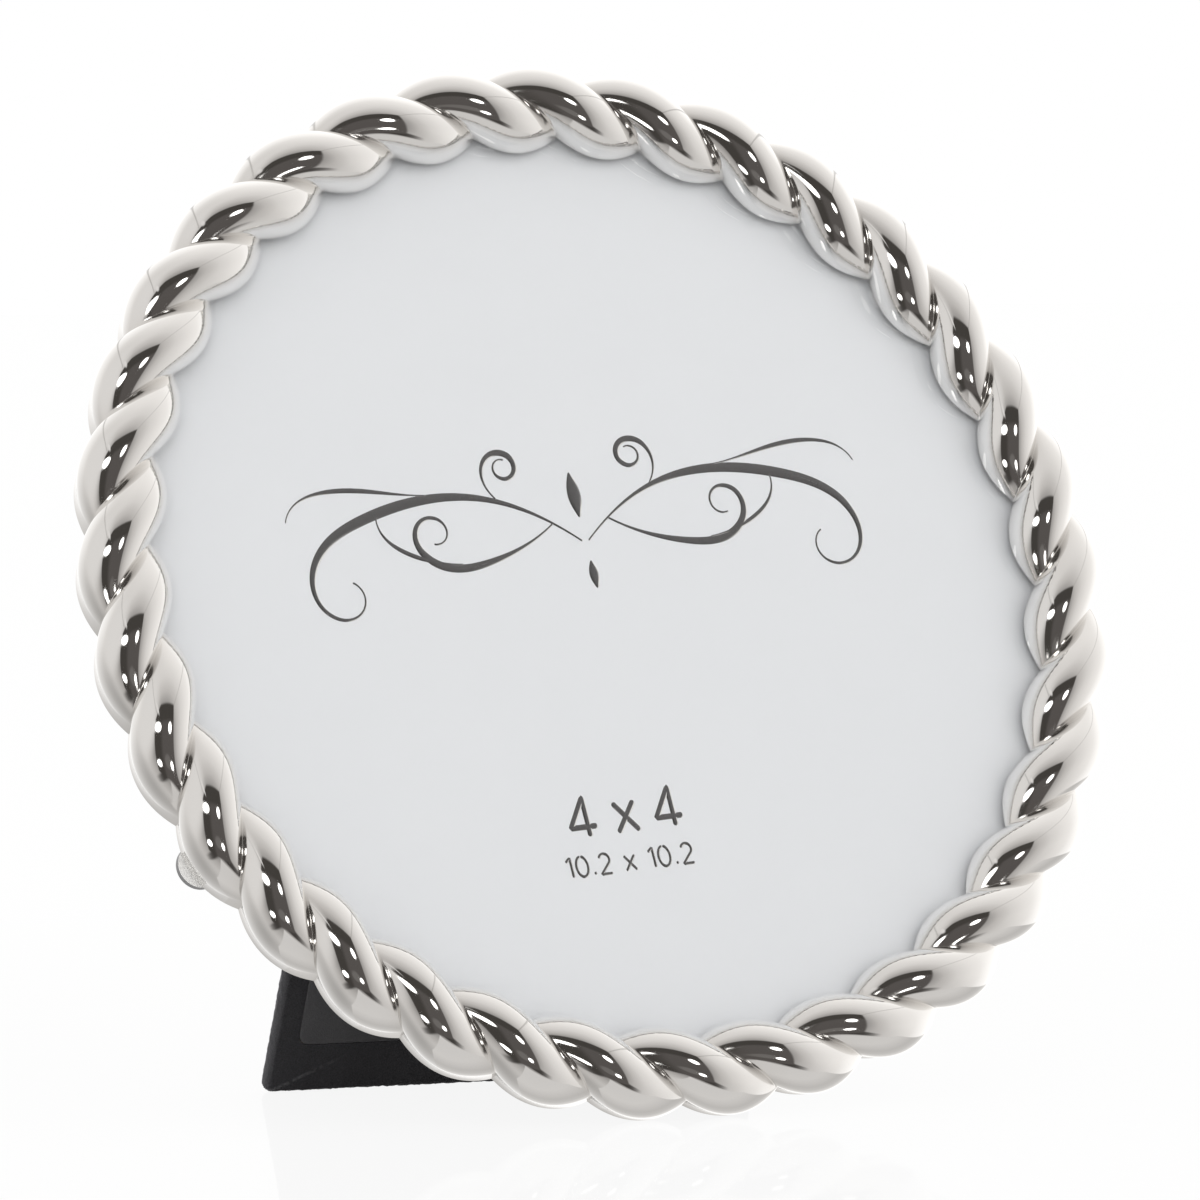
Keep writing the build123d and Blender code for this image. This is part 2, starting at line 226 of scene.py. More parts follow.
class Finish:
    """A material round one Principled shader, with the patterns that its colour and bump use."""

    def __init__(self, name, colour, roughness, metallic=0.0, **fixed):
        self.material = bpy.data.materials.new(name)
        self.material.use_nodes = True
        self.tree = self.material.node_tree
        self.shader = self.tree.nodes["Principled BSDF"]
        self.shader.inputs["Base Color"].default_value = (*colour, 1)
        self.shader.inputs["Roughness"].default_value = roughness
        self.shader.inputs["Metallic"].default_value = metallic
        for socket, number in fixed.items():
            self.shader.inputs[socket.replace("_", " ")].default_value = number
        self.place = self.node("TexCoord", output=3)

    def node(self, kind, settings=None, inputs=None, output=0):
        return Value.node(self.tree, kind, settings, inputs, output)

    def noise(self, size, detail=2.0, stretch=(1, 1, 1), distortion=0.0):
        """A cloudy pattern with features of about this size, drawn out by the stretch."""
        scale = tuple(1 / part for part in stretch)
        place = self.node("Mapping", None, {"Vector": self.place, "Scale": scale})
        inputs = {"Vector": place, "Scale": 1 / size, "Detail": detail, "Distortion": distortion}
        return self.node("TexNoise", None, inputs)

    def set(self, **links):
        for socket, value in links.items():
            self.tree.links.new(value.socket, self.shader.inputs[socket.replace("_", " ")])

    def bump(self, height, depth, strength=1.0):
        """Raises the surface where the height is 1, by this depth in metres."""
        inputs = {"Strength": strength, "Distance": depth, "Height": height}
        self.set(Normal=self.node("Bump", None, inputs))


def dress(piece, finish):
    """Gives the piece this finish all over."""
    piece.data.materials.clear()
    piece.data.materials.append(finish.material)


rim = surface("rope_rim", rope_casting(), around=True, across=True, sharp=radians(50))
rim_points = np.zeros(len(rim.data.vertices) * 3)
rim.data.vertices.foreach_get("co", rim_points)
rim_points = rim_points.reshape(-1, 3) - face_centre
ring_angle = np.arctan2(rim_points @ face_up, rim_points @ face_right)
ring_reach = np.hypot(rim_points @ face_up, rim_points @ face_right) - rope_ring_radius
height = rim_points @ face_normal
rope_angle = np.clip(np.arctan2(height, ring_reach), dome_end, pi)
lobe_place = (ring_angle - lobe_phase) * lobe_count / (2 * pi) - lay(rope_angle)
from_crown = np.clip(np.abs((lobe_place % 1) - 0.5) * 2, 0, 1)
groove = rim.data.attributes.new("groove", "FLOAT", "POINT")
groove.data.foreach_set("value", from_crown**tarnish_fade)

silver_white = (0.925, 0.916, 0.902)
tarnish_brown = (0.5, 0.44, 0.37)
silver = Finish("silver_plate", silver_white, 0.06, metallic=1.0)
in_groove = silver.node("Attribute", {"attribute_name": "groove"}, None, 2)
clouds = silver.noise(9 * mm, detail=3.0)
wipes = silver.noise(0.5 * mm, detail=2.0, stretch=(6, 1, 6))
tarnish = in_groove * 0.14 + clouds.ramp(0.62, 0.8) * 0.08
silver.set(Base_Color=tarnish.blend((*silver_white, 1), (*tarnish_brown, 1)))
silver.set(Roughness=clouds * 0.035 + wipes * 0.02 + in_groove * 0.08 + 0.025)
silver.bump(clouds + wipes * 0.02, 0.02 * mm, 0.35)
dress(rim, silver)
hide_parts("rim")
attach(rim, "frame")

# Glass: a plain 4 in disc with its sharp edge ground off. It lies loose in the rebate, and the
# visible disc stops a hair short of the card behind it, as the real one does.
glass_radius = 50.8 * mm
glass_bevel = 0.12 * mm
glass_rest = 0.06 * mm
ring_steps = 180


def turned(profile):
    """A shape turned about the frame's axis: each profile point is a radius and a height."""
    profile = np.array(profile)
    turn = np.linspace(0, 2 * pi, ring_steps, endpoint=False)[:, None]
    return on_face(profile[:, 0] * np.cos(turn), profile[:, 0] * np.sin(turn), profile[:, 1] + 0 * turn)


glass_back = glass_rest - glass_thickness
glass_profile = [
    (0, 0),
    (glass_radius - glass_bevel, 0),
    (glass_radius, -glass_bevel),
    (glass_radius, glass_back + glass_bevel),
    (glass_radius - glass_bevel, glass_back),
    (0, glass_back),
]
pane = surface("glass_pane", turned(glass_profile), around=True, smooth=False)
clear = Finish("clear_glass", (0.97, 0.985, 0.98), 0.0, Alpha=0.06, IOR=1.5)
smears = clear.noise(14 * mm, detail=4.0, distortion=0.6)
clear.set(Roughness=smears.ramp(0.55, 0.85) * 0.05 + 0.005)
see_through = clear.node("BsdfTransparent", None, {"Color": (0.995, 0.996, 0.995, 1)})
gloss = clear.node("BsdfGlossy", None, {"Roughness": 0.01})
slant = clear.node("LayerWeight", None, {"Blend": 0.5}, 1)
least_mirrored = 0.04
mirrored_share = slant**5 * (1 - least_mirrored) + least_mirrored
layers = clear.node("MixShader", None, {0: mirrored_share, 1: see_through, 2: gloss})
clear.tree.links.new(layers.socket, clear.tree.nodes["Material Output"].inputs["Surface"])
dress(pane, clear)
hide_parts("glass")
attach(pane, "frame")

# Display card: satin grey stock, cut round, behind the glass. It is printed with a scroll ornament and
# plain numbers in raised dark metallic ink, and turned a little in the frame. The side of each ink line
# that faces lower right is painted near-white as a painted highlight.
card_front = -glass_thickness
print_turn = radians(5.0)
ink_height = 0.06 * mm
ink_section = 7
pen_step = 0.12 * mm
full_height_half = 0.1 * mm

card_dark, card_pale = (0.707, 0.719, 0.742, 1), (0.733, 0.745, 0.766, 1)
card = Finish("print_card", (0.72, 0.732, 0.755), 0.55)
fibres = card.noise(0.35 * mm, detail=4.0)
mottle = card.noise(12 * mm, detail=2.0)
card.set(Base_Color=(mottle * 0.5 + fibres * 0.5).blend(card_dark, card_pale))
card.set(Roughness=fibres * 0.15 + 0.45)
card.bump(fibres, 0.01 * mm, 0.5)
dress(nodes["insert_card"], card)


def pen_line(path, width):
    """A raised pen line on the card: a low arch as wide as the pen, carried along the path, with
    round ends, and lower where the pen is very fine. The path is in metres on the print, and the
    width is one value or one a point."""
    path = np.asarray(path, float)
    width = np.broadcast_to(np.asarray(width, float), len(path))
    step = np.hypot(*np.diff(path, axis=0).T)
    along = np.concatenate([[0], np.cumsum(step)])
    count = max(int(along[-1] / pen_step), 12)
    ends = (1 - np.cos(np.linspace(0, pi, count))) / 2
    place = along[-1] * (0.35 * ends + 0.65 * np.linspace(0, 1, count))
    x, y = np.interp(place, along, path[:, 0]), np.interp(place, along, path[:, 1])
    half = np.interp(place, along, width) / 2
    gap = np.minimum(place, along[-1] - place)
    half = half * np.sqrt(1 - np.clip(1 - gap / np.maximum(half, 1e-6), 0, 1) ** 2)
    lean_x, lean_y = np.gradient(x), np.gradient(y)
    length = np.hypot(lean_x, lean_y)
    side = np.linspace(-1, 1, ink_section)
    across = half[:, None] * side
    arch = np.sqrt(np.clip(1 - side**2, 0, 1))
    rise = ink_height * arch[None, :] * np.minimum(1, half / full_height_half)[:, None]
    px = x[:, None] - (lean_y / length)[:, None] * across
    py = y[:, None] + (lean_x / length)[:, None] * across
    turned_x = px * cos(print_turn) - py * sin(print_turn)
    turned_y = px * sin(print_turn) + py * cos(print_turn)
    return on_face(turned_x, turned_y, card_front + rise)


def arc_points(centre, size, start, end, count=24):
    """Points along an ellipse between two angles in degrees."""
    turn = np.radians(np.linspace(start, end, count))
    return np.stack([centre[0] + size[0] * np.cos(turn), centre[1] + size[1] * np.sin(turn)], -1)


two_top = arc_points((0.29, 0.71), (0.27, 0.29), 165, -35)
glyphs = {
    "4": (0.72, [[(0.47, 0), (0.47, 1), (0, 0.26), (0.72, 0.26)]]),
    "x": (0.58, [[(0, 0), (0.58, 0.78)], [(0, 0.78), (0.58, 0)]]),
    "1": (0.26, [[(0, 0.78), (0.26, 1), (0.26, 0)]]),
    "0": (0.6, [arc_points((0.3, 0.5), (0.3, 0.5), 90, 450, 48)]),
    "2": (0.6, [np.vstack([two_top, [(0, 0)], [(0.6, 0)]])]),
    ".": (0.1, [[(0.05, 0.02), (0.05, 0.18)]]),
    " ": (0.2, []),
}


def numbers(text, centre, height, width, spacing):
    """Pen lines for a row of plain numbers centred on a place of the print."""
    advance = [glyphs[sign][0] * height + spacing for sign in text]
    start = centre[0] - (sum(advance) - spacing) / 2
    lines = []
    for sign, step in zip(text, advance):
        for stroke in glyphs[sign][1]:
            lines.append(pen_line(np.asarray(stroke) * height + (start, centre[1]), width))
        start += step
    return lines


def scroll(start, heading, length, bends, swell, fine, mirror):
    """A calligraphic scroll: how fast the pen turns is drawn straight from one bend to the next
    along its length, and the pen swells in the middle. Mirrored, it is the same line on the
    print's other side."""
    share = np.linspace(0, 1, 240)
    places, rates = np.array(bends).T
    angle = radians(heading) + np.cumsum(np.interp(share, places, rates)) / len(share)
    x = start[0] + np.cumsum(np.cos(angle)) * length / len(share)
    y = start[1] + np.cumsum(np.sin(angle)) * length / len(share)
    width = fine + (swell - fine) * np.sin(pi * share) ** 2
    return pen_line(np.stack([mirror * x, y + ornament_height], -1) * mm, width * mm)


ornament_height = 7.4
ornament_scrolls = [
    ((0.2, -2.3), 42, 47.5, ((0, -1.2), (0.25, -2.6), (0.55, -1.2), (0.75, -9), (1, -26)), 1.15, 0.22),
    ((3.0, 0.2), -36, 27, ((0, 1.5), (0.35, 1.0), (0.6, 7), (1, 22)), 0.9, 0.22),
    ((8.8, 3.3), 48, 15, ((0, 3), (0.3, 6), (1, 16)), 0.7, 0.2),
    ((16.5, 4.6), 4, 17.5, ((0, 1), (0.4, -0.5), (0.7, -1.5), (1, -6)), 0.55, 0.16),
    ((14.2, -3.2), 4, 12.2, ((0, 0.8), (0.5, 1), (1, 5)), 0.5, 0.16),
]
drop_places = [((0, 0.4), (0, 5.4), 1.5), ((0, -4.3), (0, -7.4), 1.1)]
ink_lines = [scroll(*shape, mirror) for shape in ornament_scrolls for mirror in (-1, 1)]
for low, high, swell in drop_places:
    share = np.linspace(0, 1, 24)[:, None]
    drop = (np.array(low) * (1 - share) + np.array(high) * share + (0, ornament_height)) * mm
    ink_lines.append(pen_line(drop, swell * mm * np.sin(pi * (0.04 + 0.92 * share[:, 0]))))
ink_lines += numbers("4 x 4", (-3.4 * mm, -26.2 * mm), 4.2 * mm, 0.62 * mm, 0.66 * mm)
ink_lines += numbers("10.2 x 10.2", (-4.2 * mm, -30.3 * mm), 2.15 * mm, 0.33 * mm, 0.56 * mm)

ink = Finish("metallic_ink", (0.12, 0.12, 0.125), 0.2, metallic=1.0)
# Painted highlight: the side of each ink line that faces lower right is coloured near-white, standing
# in for light caught there.
painted_light_way = face_right * 0.95 - face_up * 0.3
painted_light_way /= np.linalg.norm(painted_light_way)
painted_highlight_white = (0.98, 0.98, 0.98, 1)
ink_grain = ink.noise(0.12 * mm, detail=2.0)
painted_highlight_share = ink.node("Attribute", {"attribute_name": "edge"}, None, 2)
dark_ink = ink_grain.blend((0.09, 0.09, 0.095, 1), (0.18, 0.18, 0.185, 1))
ink.set(Base_Color=painted_highlight_share.ramp(0.1, 0.22).blend(dark_ink, painted_highlight_white))
ink.bump(ink_grain, 0.003 * mm, 0.6)
for number, line in enumerate(ink_lines):
    stroke = surface(f"print_line_{number:02d}", line)
    # The edge attribute is how far each point faces the painted light's way; it places the painted
    # highlight.
    edge = stroke.data.attributes.new("edge", "FLOAT", "POINT")
    outward = np.zeros(len(stroke.data.vertices) * 3)
    stroke.data.vertex_normals.foreach_get("vector", outward)
    edge.data.foreach_set("value", np.clip(outward.reshape(-1, 3) @ painted_light_way, 0, 1))
    dress(stroke, ink)
    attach(stroke, "frame")

# Filler card and lining disc: grey board that presses the print on the glass, and black paper
# glued over the rivets' ends inside the back. Both are hidden while the frame is closed.
grey_board = Finish("grey_board", (0.46, 0.43, 0.38), 0.9)
pulp = grey_board.noise(0.6 * mm, detail=6.0)
grey_board.set(Base_Color=pulp.blend((0.4, 0.37, 0.32, 1), (0.52, 0.49, 0.44, 1)))
grey_board.bump(pulp, 0.02 * mm, 0.6)
dress(nodes["filler_card"], grey_board)
black_paper = Finish("black_paper", (0.03, 0.03, 0.03), 0.85)
paper_fibres = black_paper.noise(0.4 * mm, detail=5.0)
black_paper.set(Base_Color=paper_fibres.blend((0.022, 0.022, 0.022, 1), (0.045, 0.044, 0.043, 1)))
black_paper.bump(paper_fibres, 0.015 * mm, 0.5)
dress(nodes["back_lining"], black_paper)

# Boards of the back and the leg: pressed hardboard, sawn to shape, drilled for the rivets. The
# velvet wraps them, so they show only when it is taken off.
hardboard = Finish("hardboard", (0.28, 0.18, 0.1), 0.75)
pressed = hardboard.noise(0.8 * mm, detail=6.0, stretch=(3, 1, 3))
hardboard.set(Base_Color=pressed.blend((0.2, 0.125, 0.07, 1), (0.36, 0.24, 0.14, 1)))
hardboard.bump(pressed, 0.03 * mm, 0.5)
for name in ("back_board", "leg_board"):
    dress(nodes[name], hardboard)

# Velvet of the back: black cotton velvet glued over the board, wrapped round its edge and
# turned over to the front as a hem. The pile gives it a soft edge and a fine speckle.
back_radius = 50.7 * mm
back_front = -1.7 * mm
hem_width = 6.0 * mm
hem_depth = 0.3 * mm
hem_radius = 0.25 * mm
edge_radius = 0.5 * mm
fold_highlight_grey = (0.115, 0.115, 0.12, 1)


def velvet(name, dark, pale, sheen, fold=None):
    """Pile fabric: near-black with a fine fibre speckle, brushed patches and a sheen at its edges.
    Where a fold is given, its line is raised and painted paler grey, a painted highlight along the
    fold."""
    glow = {"Sheen_Weight": sheen, "Sheen_Roughness": 0.35, "Sheen_Tint": (0.8, 0.8, 0.86, 1)}
    finish = Finish(name, dark, 0.95, **glow)
    pile = finish.noise(0.14 * mm, detail=3.0)
    brushed = finish.noise(7 * mm, detail=3.0, stretch=(1, 1, 2.5), distortion=0.4)
    speckle = pile * 0.65 + brushed * 0.35
    colour = speckle.ramp(0.3, 0.7).blend((*dark, 1), (*pale, 1))
    height = pile + brushed * 0.4
    if fold:
        # Painted highlight: along the fold the pile is coloured paler grey, standing in for light
        # caught on the crease.
        fold_highlight = fold(finish) * finish.noise(0.7 * mm, detail=3.0).ramp(0.34, 0.6)
        colour = fold_highlight.blend(colour, fold_highlight_grey)
        height = height + fold_highlight * 2
    finish.set(Base_Color=colour)
    finish.bump(height, 0.05 * mm, 0.8)
    return finish


def rounded(corner, start, end, radius, steps=6):
    """Profile points of a round edge about a centre, between two angles in degrees."""
    return [tuple(point) for point in arc_points(corner, (radius, radius), start, end, steps)]


black, worn_black = (0.028, 0.028, 0.031), (0.058, 0.057, 0.062)
back_profile = (
    [(back_radius - hem_width, back_front - hem_depth)]
    + rounded((back_radius - hem_width + hem_radius, back_front - hem_radius), 180, 90, hem_radius)
    + rounded((back_radius - edge_radius, back_front - edge_radius), 90, 0, edge_radius)
    + rounded((back_radius - edge_radius, rim_back + edge_radius), 0, -90, edge_radius)
    + [(back_radius * share, rim_back) for share in (0.9, 0.6, 0.3, 0)]
)
back_cover = surface("back_cover", turned(back_profile), around=True, sharp=radians(60))
dress(back_cover, velvet("back_black_velvet", black, worn_black, 0.4))
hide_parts("back_velvet")
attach(back_cover, "frame")

# Turn clips: bright nickel-plated steel plates that swing on slotted screws over the back.
# Fine scratches run along the stamped plates, and their cut edges are painted dark grey as painted
# shade.
nickel = Finish("clip_steel", (0.96, 0.955, 0.94), 0.3, metallic=0.1)
scratches = nickel.noise(0.12 * mm, detail=3.0, stretch=(14, 1, 1))
stains = nickel.noise(3 * mm, detail=3.0)
surface_way = nickel.node("TexCoord", output=1)
on_plate = abs(surface_way.dot(face_normal)).ramp(0.75, 0.97)
plate_colour = stains.blend((0.93, 0.925, 0.91, 1), (0.99, 0.985, 0.97, 1))
# Painted shade: faces that are not the plate's front or back, the cut edges, are coloured dark grey.
painted_edge_shade = (0.24, 0.24, 0.245, 1)
nickel.set(Base_Color=on_plate.blend(painted_edge_shade, plate_colour))
nickel.set(Roughness=scratches * 0.14 + stains * 0.1 + 0.25)
nickel.bump(scratches, 0.004 * mm, 0.5)
for name in ("clip_top", "clip_left", "clip_right"):
    dress(nodes[name], nickel)

# Hinge, rivets and screws: stamped and turned steel, nickel-plated and a little duller than the
# clips, with brushed marks and darker spots where it has worn. The rivets and screws are brighter.
hinge_nodes = "hinge_back_leaf", "hinge_leg_leaf", "hinge_pin"
rivet_nodes = "back_rivets", "leg_rivets", "clip_screws"
steel_parts = [
    ("hinge_steel", (0.62, 0.61, 0.58), (0.47, 0.455, 0.43), hinge_nodes),
    ("rivet_steel", (0.82, 0.81, 0.78), (0.66, 0.645, 0.61), rivet_nodes),
]
for steel_name, bright, worn, steel_nodes in steel_parts:
    dull_nickel = Finish(steel_name, bright, 0.32, metallic=1.0)
    brushing = dull_nickel.noise(0.1 * mm, detail=3.0, stretch=(18, 1, 1))
    spots = dull_nickel.noise(1.6 * mm, detail=4.0)
    dull_nickel.set(Base_Color=spots.ramp(0.35, 0.75).blend((*bright, 1), (*worn, 1)))
    dull_nickel.set(Roughness=brushing * 0.2 + spots * 0.1 + 0.16)
    dull_nickel.bump(brushing, 0.005 * mm, 0.6)
    for name in steel_nodes:
        dress(nodes[name], dull_nickel)

# Easel leg: a board in the same velvet, turned over to the front as a hem with mitred corners.
# A separate velvet panel is glued in the space that the hem leaves.
hinge_place = np.array(joints["leg_hinge"]["pos_m"], float)
leg_tilt = radians(6.8)
leg_down = np.array([0.0, sin(leg_tilt), -cos(leg_tilt)])
leg_forward = np.array([0.0, -cos(leg_tilt), -sin(leg_tilt)])
leg_front = 0.7 * mm
leg_thickness = 2.3 * mm
leg_top = 1.7 * mm
leg_reach = hinge_place[2] / cos(leg_tilt)
top_half = 17.5 * mm
foot_half = 28.0 * mm
side_hem = 2.5 * mm
foot_hem = 5.0 * mm
lining_top = 14.45 * mm
leg_corner = 0.8 * mm
lining_corner = 1.2 * mm
lining_gap = 0.02 * mm
fold_radius = 0.5 * mm
side_steps = 220
pile_roughness = 0.05 * mm
corner_steps = 10
fold_slope = 0.41
fold_line, fold_fade = 0.06 * mm, 0.26 * mm


def on_leg(x, down, forward):
    """Points given across the leg, down from the hinge and towards the frame's back."""
    x, down, forward = np.broadcast_arrays(x, down, forward)
    hanging = hinge_place + x[..., None] * face_right + down[..., None] * leg_down
    return hanging + forward[..., None] * leg_forward


def leg_outline(top, foot, margin, corner):
    """A four-sided outline that widens towards the foot, its corners rounded by arcs. The sides
    stand in from the leg's own by the margin. Equal steps make two outlines match point for point."""
    flare = (foot_half - top_half) / (leg_reach - leg_top)
    half = [top_half + flare * (level - leg_top) - margin for level in (top, foot)]
    corners = np.array([(half[0], top), (half[1], foot), (-half[1], foot), (-half[0], top)])
    before, after = np.roll(corners, 1, axis=0), np.roll(corners, -1, axis=0)
    inward = [side - corners for side in (before, after)]
    inward = [side / np.linalg.norm(side, axis=1)[:, None] for side in inward]
    opening = np.arccos(np.sum(inward[0] * inward[1], axis=1))
    reach = (corner / np.tan(opening / 2))[:, None]
    entry, leave = corners + inward[0] * reach, corners + inward[1] * reach
    share = np.linspace(0, 1, corner_steps)[None, :, None]
    bow = (1 - share) ** 2 * entry[:, None] + 2 * share * (1 - share) * corners[:, None]
    bow = bow + share**2 * leave[:, None]
    run = np.linspace(0, 1, side_steps + 1)[None, 1:-1, None]
    side = leave[:, None] + (np.roll(entry, -1, axis=0) - leave)[:, None] * run
    return np.concatenate([bow, side], axis=1).reshape(-1, 2)


outer = leg_outline(leg_top, leg_reach, 0, leg_corner)
inner = leg_outline(lining_top, leg_reach - foot_hem, side_hem, lining_corner)
middle = outer.mean(axis=0)


def velvet_wrap():
    """The wrap's columns follow the leg's outline. From one to the next it goes from the hem's
    cut edge over the hem, round the folded side and on to the middle of the rear."""
    fold = np.radians(np.linspace(90, -90, 13))
    inset = fold_radius * (1 - np.cos(fold))
    depth_share = (1 - np.sin(fold)) / 2
    inward = middle - outer
    inward /= np.linalg.norm(inward, axis=1)[:, None]
    rows, forward = [], []
    for share in (0, 0.02, 0.15, 0.4, 0.7, 0.92):
        rows.append(inner + (outer + inward * fold_radius - inner) * share)
        forward.append(np.full(len(outer), leg_front - hem_depth * (share == 0)))
    for step, depth in zip(inset, depth_share):
        rows.append(outer + inward * step)
        forward.append(np.full(len(outer), leg_front - leg_thickness * depth))
    for share in (0.1, 0.3, 0.6, 0.85, 1.0):
        rows.append(outer + inward * fold_radius + (middle - outer - inward * fold_radius) * share)
        forward.append(np.full(len(outer), leg_front - leg_thickness))
    outline, forward = np.stack(rows, 1), np.stack(forward, 1)
    on_fold = (leg_front - leg_thickness < forward) & (forward < leg_front)
    tufts = np.random.default_rng(7).normal(0, pile_roughness, forward.shape) * on_fold
    tufts[:, 0] = 0
    outline = outline - inward[:, None] * tufts[..., None]
    points = on_leg(outline[..., 0], outline[..., 1], forward)
    points[..., 2] = np.maximum(points[..., 2], 0)
    return points


def corner_fold(finish):
    """1 along the slanting fold that runs inwards from each corner of the foot, on the front."""
    inwards = foot_half - abs(finish.place.dot(face_right))
    height = finish.place.dot((0, 0, 1))
    ahead = finish.place.dot(leg_forward)
    fading = inwards.ramp(9.5 * mm, 3 * mm)
    front = (ahead - float(hinge_place @ leg_forward)).ramp(0, leg_front * 0.4)
    return abs(height - inwards * fold_slope).ramp(fold_fade, fold_line) * fading * front


leg_cover = surface("leg_cover", velvet_wrap(), around=True, sharp=radians(60))
dress(leg_cover, velvet("leg_black_velvet", black, worn_black, 0.6, corner_fold))
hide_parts("leg_velvet")
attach(leg_cover, "leg")

panel_front = leg_front + 0.15 * mm
panel_back = leg_front - 0.3 * mm
panel_foot = leg_reach - foot_hem - lining_gap
panel = leg_outline(lining_top + lining_gap, panel_foot, side_hem + lining_gap, lining_corner)
panel_middle = panel.mean(axis=0)
panel_rows = [(0.0, panel_back), (0.0, panel_front - 0.12 * mm), (0.003, panel_front - 0.03 * mm)]
panel_rows += [(0.008, panel_front), (0.3, panel_front), (0.7, panel_front), (1.0, panel_front)]
panel_outline = np.stack([panel + (panel_middle - panel) * share for share, level in panel_rows], 1)
panel_levels = np.array([level for share, level in panel_rows])[None, :]
panel_points = on_leg(panel_outline[..., 0], panel_outline[..., 1], panel_levels)
lining = surface("leg_panel", panel_points, around=True, sharp=radians(70))
dress(lining, velvet("lining_velvet", (0.085, 0.085, 0.089), (0.115, 0.114, 0.119), 0.3))
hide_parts("leg_lining")
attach(lining, "leg")

# Table top: polished white laminate under the frame. Seen directly it is mostly plain white,
# and the rest of its shading keeps the frame's soft shadow and a faint mirrored image.
floor_reach = 3.0
floor_drop = 0.02 * mm
level = np.linspace(-floor_reach, floor_reach, 9)
floor_x, floor_y = np.meshgrid(level, level, indexing="ij")
table = surface("table_top", np.stack([floor_x, floor_y, 0 * floor_x - floor_drop], -1))
if table.data.polygons[0].normal.z < 0:
    table.data.flip_normals()
laminate = Finish("table_white", (0.9, 0.895, 0.885), 0.6)
grain = laminate.noise(30 * mm, detail=3.0)
laminate.set(Base_Color=grain.blend((0.895, 0.89, 0.88, 1), (0.905, 0.9, 0.89, 1)))
plain = laminate.node("Emission", None, {"Color": (1, 1, 1, 1), "Strength": 1.0})
seen = laminate.node("LightPath", None, None, 0)
lit = Value(laminate.shader.outputs[0])
away = laminate.node("VectorMath", {"operation": "LENGTH"}, {0: laminate.place}, 1)
plain_share = away.ramp(0.1, 0.3) * 0.05 + 0.95
mixed = laminate.node("MixShader", None, {0: seen * plain_share, 1: lit, 2: plain})
shine = laminate.node("BsdfGlossy", None, {"Roughness": 0.03})
polished = laminate.node("MixShader", None, {0: seen * 0.05, 1: mixed, 2: shine})
laminate.tree.links.new(polished.socket, laminate.tree.nodes["Material Output"].inputs["Surface"])
dress(table, laminate)
table.visible_glossy = False

# Camera: a long lens from the left of the frame and a little above the table. It is aimed
# square to its own view, and the frame stands a little above the picture's middle.
azimuth = radians(-24.7)
elevation = radians(3.0)
distance = 1.027
picture = 1200
film_width = 36
focal_pixels = 10000
sideways_pixels = 1.8
upward_pixels = 15.1
back = np.array([sin(azimuth) * cos(elevation), -cos(azimuth) * cos(elevation), sin(elevation)])
right = np.array([cos(azimuth), sin(azimuth), 0.0])
up = np.cross(back, right)
camera_data = bpy.data.cameras.new("camera")
camera_data.sensor_width = film_width
camera_data.lens = film_width * focal_pixels / picture
camera_data.shift_x = -sideways_pixels / picture
camera_data.shift_y = -upward_pixels / picture
camera_data.clip_end = 20
camera = bpy.data.objects.new("camera", camera_data)
bpy.context.scene.collection.objects.link(camera)
placed = Matrix(np.column_stack([right, up, back]).tolist()).to_4x4()
placed.translation = Vector(face_centre + back * distance)
camera.matrix_world = placed
bpy.context.scene.camera = camera

# Studio: a white tent, open towards the camera, where the room behind is dark and four lamps
# stand round the opening. Polished metal mirrors it, and matt surfaces get its plain light.
studio_level = 1.22
tent_shades = [
    (0.0, (1.0, 1.0, 0.99)),
    (0.1, (0.97, 0.955, 0.94)),
    (0.25, (0.86, 0.842, 0.822)),
    (0.37, (0.745, 0.725, 0.704)),
    (0.5, (0.68, 0.66, 0.64)),
    (0.67, (0.575, 0.557, 0.54)),
    (0.8, (0.435, 0.418, 0.403)),
    (0.9, (0.24, 0.23, 0.222)),
]
left_wall_dim = 0.15
low_wall_dim = 0.18
corner_dim = 0.2
corner_way = -0.65, -0.62, -0.44
table_shades = [
    (0.0, (1.0, 1.0, 0.99)),
    (0.03, (0.92, 0.91, 0.9)),
    (0.07, (0.6, 0.587, 0.573)),
    (0.15, (0.475, 0.464, 0.452)),
    (0.25, (0.435, 0.424, 0.412)),
    (0.37, (0.485, 0.472, 0.46)),
    (0.5, (0.53, 0.517, 0.503)),
    (0.75, (0.515, 0.502, 0.49)),
]
table_sides = [(0.62, 0.9), (-2.2, 1.02)]
table_edge = 0.02
shadow_tone = (0.045, 0.041, 0.038)
seam_depth = 0.42
seam_tone = (0.1, 0.09, 0.08)
room_dark = (0.045, 0.041, 0.037)
room_middle = (0.077, 0.07, 0.066)
room_low = (0.126, 0.118, 0.112)
glow_tone = (0.6, 0.585, 0.57)
glow_way = -0.86, 0.3, 0.41
glow_streaks = [(-1.0, 0.36, 0.75, 0.17, -0.18), (-0.66, 0.82, 0.3, 0.075, -1.0)]
lamps_seen = [
    (-0.41, 0.265, 0.24, 0.115, -0.1),
    (0.46, 0.23, 0.13, 0.12, 0.0),
    (-0.43, -0.56, 0.18, 0.1, 0.15),
    (0.46, -0.47, 0.11, 0.09, 0.0),
]
lamp_strength = 3.0
plain_level = 0.8
least_depth = 0.02
opening_sides = (-0.72, -0.62), (0.87, 0.77)
opening_heights = (-0.94, -0.84), (0.9, 0.78)
opening_corner = 1.36, 1.2
world = bpy.data.worlds.new("studio")
world.use_nodes = True
bpy.context.scene.world = world
studio = world.node_tree
studio.nodes.clear()


def tent(kind, settings=None, inputs=None, output=0):
    return Value.node(studio, kind, settings, inputs, output)


heading = tent("TexCoord")
towards, sideways, upwards = heading.dot(back), heading.dot(right), heading.dot(up)
depth = towards.maths("MAXIMUM", towards, least_depth)
aside, above = sideways / depth, upwards / depth
ahead = towards.ramp(0.0, 0.1)


